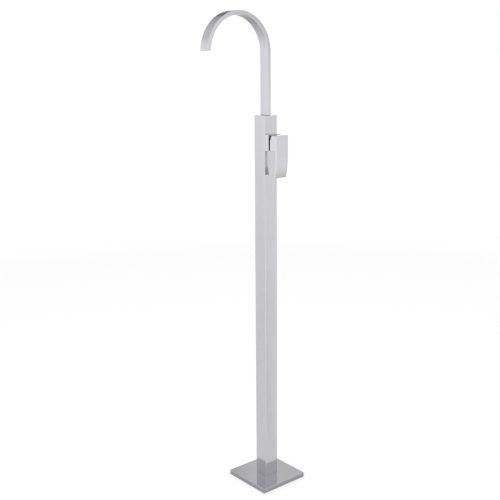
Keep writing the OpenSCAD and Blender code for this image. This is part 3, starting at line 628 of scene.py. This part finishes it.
# Inside the stage stands a light tent that only reflections see, in the way of a photographer's cards
# and soft boxes. Its compass lists hold (degrees from +x towards +y, value): brightness of the floor, of
# the wall and above it, the heights between which the wall fades into what is above, and the share of a
# dimmer strip. stripHeights holds (height, how much of the brightness it takes away)
tent = {
    # A painted shadow darkens the ground beside the plate: the last value on the next line is its share of
    # the glow, and the two after it are the distances past the plate's edge over which it fades out
    "lift": 0.0006, "tint": (0.995, 0.995, 1.0, 1), "riseFrom": 0.02, "riseTo": 0.75, "paintedShadow": 0.54,
    "paintedShadowFrom": 0.006, "paintedShadowTo": 0.030, "nearGround": 0.97, "nearFrom": 0.12, "nearTo": 0.4,
    "farGain": 1.05, "farFrom": 0.9, "farTo": 2.0,
    "floor": [(-180, 0.66), (-163, 0.735), (-149, 0.85), (-143, 0.97), (-100, 1.1), (-80, 1.35),
              (-10, 1.35), (15, 1.15), (28, 1.0), (36, 0.90), (38.8, 0.94), (40.2, 1.0), (41.6, 1.035),
              (44, 1.05), (55, 0.5), (135, 0.5), (150, 0.55), (160, 0.50), (168, 0.50), (178, 0.64),
              (180, 0.66)],
    "wall": [(-180, 1.18), (-140, 1.17), (-138.8, 1.15), (-137.7, 1.31), (-136, 1.31), (-125, 1.2),
             (-100, 1.2), (-80, 1.35), (-10, 1.35), (5, 1.15), (35, 1.15), (44, 1.13), (50, 0.9),
             (60, 0.5), (133, 0.5), (137, 1.1), (138, 1.1), (138.8, 1.52), (139.4, 1.52), (140.2, 1.1),
             (141, 1.1), (144.5, 0.5), (152, 0.5), (165, 1.1), (180, 1.18)],
    "above": [(-180, 0.645), (-169, 0.715), (-161, 0.778), (-154, 0.82), (-140, 0.90), (-90, 1.0),
              (20, 1.0), (42, 1.0), (60, 0.6), (110, 0.55), (134, 0.76), (141.5, 0.78), (146, 0.33),
              (151, 0.25), (157, 0.25), (164, 0.457), (173, 0.547), (180, 0.645)],
    "fadeFrom": [(-180, 1.55), (-142, 1.6), (-140.4, 1.4), (-100, 1.8), (0, 1.6), (40, 1.4), (90, 0.9),
                 (136, 0.9), (137.4, 1.17), (138, 1.17), (138.8, 1.46), (139.4, 1.46), (140.2, 0.9),
                 (142, 0.9), (147, 1.0), (151, 0.7), (165, 1.4), (180, 1.55)],
    "fadeTo": [(-180, 2.3), (-142, 2.9), (-140.4, 1.8), (-136, 1.8), (-125, 2.9), (0, 2.4), (40, 1.7),
               (90, 1.9), (136, 1.6), (138.8, 1.63), (139.4, 1.63), (142, 1.6), (147, 2.4), (151, 2.4),
               (165, 2.2), (180, 2.3)],
    "strip": [(-180, 0), (34, 0), (40, 1), (46, 1), (52, 0), (180, 0)],
    "stripHeights": [(0.42, 0), (0.55, 0.035), (0.70, 0.045), (0.82, 0.01), (1.15, 0.14), (1.40, 0.24),
                     (1.62, 0)],
    "stripTop": 2.0,
}
compassPeak = 3.0  # over the largest compass value, so that each fits a ramp as a share of it


def revolve(name, rho, h, turn):
    # surface of revolution: (rho cos t, rho sin t, h), its innermost ring filled
    points = np.stack([rho[:, None] * np.cos(turn), rho[:, None] * np.sin(turn),
                       np.broadcast_to(h[:, None], (len(h), len(turn)))], -1)
    around = len(turn)
    mesh = listMesh(name, points, gridQuads(len(h), around)[:, [0, 3, 2, 1]], (range(around),))
    mesh.polygons.foreach_set("use_smooth", np.ones(len(mesh.polygons), bool))
    return mesh


def coveProfile(s, inward):
    # floor line, quarter circle and wall line, moved inward by a given distance
    bend = np.radians(np.linspace(0, 90, s["coveSteps"]))
    radius = s["cove"] - inward
    wall = np.linspace(s["cove"], s["wallTop"], s["wallSteps"])[1:]
    rho = np.concatenate([s["floorRings"], s["radius"] - s["cove"] + radius * np.sin(bend),
                          np.full(len(wall), s["radius"] - inward)])
    h = np.concatenate([np.full(len(s["floorRings"]), inward), inward + radius * (1 - np.cos(bend)), wall])
    return rho, h


def roundCompass(tree, xyz, stops):
    # value by direction, atan2(y, x) / 360 + 1/2 along a ramp that holds each value as a share of the peak
    turn = mathNode(tree, "ARCTAN2", xyz.outputs["Y"], xyz.outputs["X"])
    shares = [((angle + 180) / 360, (value / compassPeak,) * 3) for angle, value in stops]
    shade = ramp(tree, spread(tree, turn, 0, 1, -math.pi, math.pi), shares)
    return mathNode(tree, "MULTIPLY", shade, compassPeak)


def showThrough(tree, share, shader):
    # clear where share is 0, the given shader where it is 1
    made = addNode(tree, "ShaderNodeMixShader")
    clear = addNode(tree, "ShaderNodeBsdfTransparent")
    surface(tree, feed(tree, made, (0, 1, 2), (share, clear.outputs[0], shader.outputs[0])))


def outsidePlate(tree, xyz, s):
    # max(|x|, |y|), and 1 where that is outside the square plate
    wide = mathNode(tree, "MAXIMUM", mathNode(tree, "ABSOLUTE", xyz.outputs["X"]),
                    mathNode(tree, "ABSOLUTE", xyz.outputs["Y"]))
    return wide, mathNode(tree, "GREATER_THAN", wide, s["plateHalf"])


def paintMaterial(s):
    # matt grey on the floor, glow on the bend and wall
    made, tree = newMaterial("studioPaint")
    xyz = addNode(tree, "ShaderNodeSeparateXYZ", vector=objectPlace(tree))
    height = spread(tree, xyz.outputs["Z"], 0, 1, 0, s["glowHeight"])
    share = 1 / s["glowStrength"]
    glow = ramp(tree, height, [(at, (value * share,) * 3) for at, value in zip(s["glowStops"], s["glows"])])
    paint = addNode(tree, "ShaderNodeEmission", {"Strength": s["glowStrength"]}, color=glow)
    shade = spread(tree, xyz.outputs["Z"], s["floorShade"], 0, 0, s["shadeHeight"])
    grey = addNode(tree, "ShaderNodeCombineColor", red=shade, green=shade, blue=shade)
    matt = addNode(tree, "ShaderNodeBsdfDiffuse", color=grey.outputs[0])
    total = addNode(tree, "ShaderNodeAddShader")
    feed(tree, total, (0, 1), (paint.outputs[0], matt.outputs[0]))
    # the floor is clear from below and under the plate, so that the part's underside can be looked at
    front = mathNode(tree, "SUBTRACT", 1.0, addNode(tree, "ShaderNodeNewGeometry").outputs["Backfacing"])
    showThrough(tree, mathNode(tree, "MULTIPLY", front, outsidePlate(tree, xyz, s)[1]), total)
    return made


def tentMaterial(s, t):
    # the ground has a painted shadow beside the plate and is lighter far off, and rises into the wall,
    # which fades upwards
    made, tree = newMaterial("tentCloth")
    xyz = addNode(tree, "ShaderNodeSeparateXYZ", vector=objectPlace(tree))
    z = xyz.outputs["Z"]
    wide, outside = outsidePlate(tree, xyz, s)
    # painted shadow: the ground's glow is cut next to the plate and comes back over a short distance past
    # its edge
    paintedShadowFade = smoothStep(tree, wide, s["plateHalf"] + t["paintedShadowFrom"], s["plateHalf"] + t["paintedShadowTo"])
    past = smoothStep(tree, wide, t["nearFrom"], t["nearTo"])
    gain = spread(tree, smoothStep(tree, wide, t["farFrom"], t["farTo"]), 1.0, t["farGain"])
    ground = mathNode(tree, "MULTIPLY", spread(tree, paintedShadowFade, t["paintedShadow"], 1.0),
                      blend(tree, past, t["nearGround"], roundCompass(tree, xyz, t["floor"])))
    ground = mathNode(tree, "MULTIPLY", ground, gain)
    fade = smoothStep(tree, z, roundCompass(tree, xyz, t["fadeFrom"]), roundCompass(tree, xyz, t["fadeTo"]))
    upright = blend(tree, fade, roundCompass(tree, xyz, t["wall"]), roundCompass(tree, xyz, t["above"]))
    level = blend(tree, spread(tree, z, 0, 1, t["riseFrom"], t["riseTo"]), ground, upright)
    band = ramp(tree, spread(tree, z, 0, 1, 0, t["stripTop"]),
                [(height / t["stripTop"], (share,) * 3) for height, share in t["stripHeights"]])
    dim = mathNode(tree, "MULTIPLY", band, roundCompass(tree, xyz, t["strip"]))
    strength = mathNode(tree, "MULTIPLY", level, mathNode(tree, "SUBTRACT", 1.0, dim))
    showThrough(tree, outside, addNode(tree, "ShaderNodeEmission", {"Color": t["tint"]}, strength=strength))
    return made


def makeStage(s, t):
    turn = np.linspace(0, 2 * np.pi, s["turnSteps"] + 1)[:-1]
    floor = bpy.data.objects.new("studioFloor", revolve("studioFloor", *coveProfile(s, s["floorZ"]), turn))
    floor.data.materials.append(paintMaterial(s))
    # the tent closes above in (radius cos t, wallTop + rise sin t)
    rho, h = coveProfile(s, t["lift"])
    arc = np.radians(np.linspace(s["domeFrom"], s["domeTo"], s["domeSteps"]))
    rho = np.concatenate([rho, (s["radius"] - t["lift"]) * np.cos(arc)])
    h = np.concatenate([h, s["wallTop"] + (s["domeTop"] - s["wallTop"]) * np.sin(arc)])
    cards = bpy.data.objects.new("lightTent", revolve("lightTent", rho, h, turn))
    cards.data.materials.append(tentMaterial(s, t))
    cards.visible_camera = cards.visible_diffuse = cards.visible_shadow = False
    for part in (floor, cards):
        bpy.context.scene.collection.objects.link(part)


def makeWorld():
    world = bpy.data.worlds.new("studioRoom")
    world.use_nodes = True
    world.node_tree.nodes["Background"].inputs["Color"].default_value = (1.0, 1.0, 1.0, 1)
    bpy.context.scene.world = world


def makeLight(b):
    data = bpy.data.lights.new("overheadSoftbox", "AREA")
    data.shape, data.size, data.size_y, data.energy = "RECTANGLE", b["size"], b["size"], b["watts"]
    light = bpy.data.objects.new("overheadSoftbox", data)
    light.location = b["place"]
    light.visible_camera = light.visible_glossy = False
    bpy.context.scene.collection.objects.link(light)


makeStage(studio, tent)
makeWorld()
makeLight(softbox)
bpy.context.scene.view_settings.view_transform = "Standard"
print("studio made")
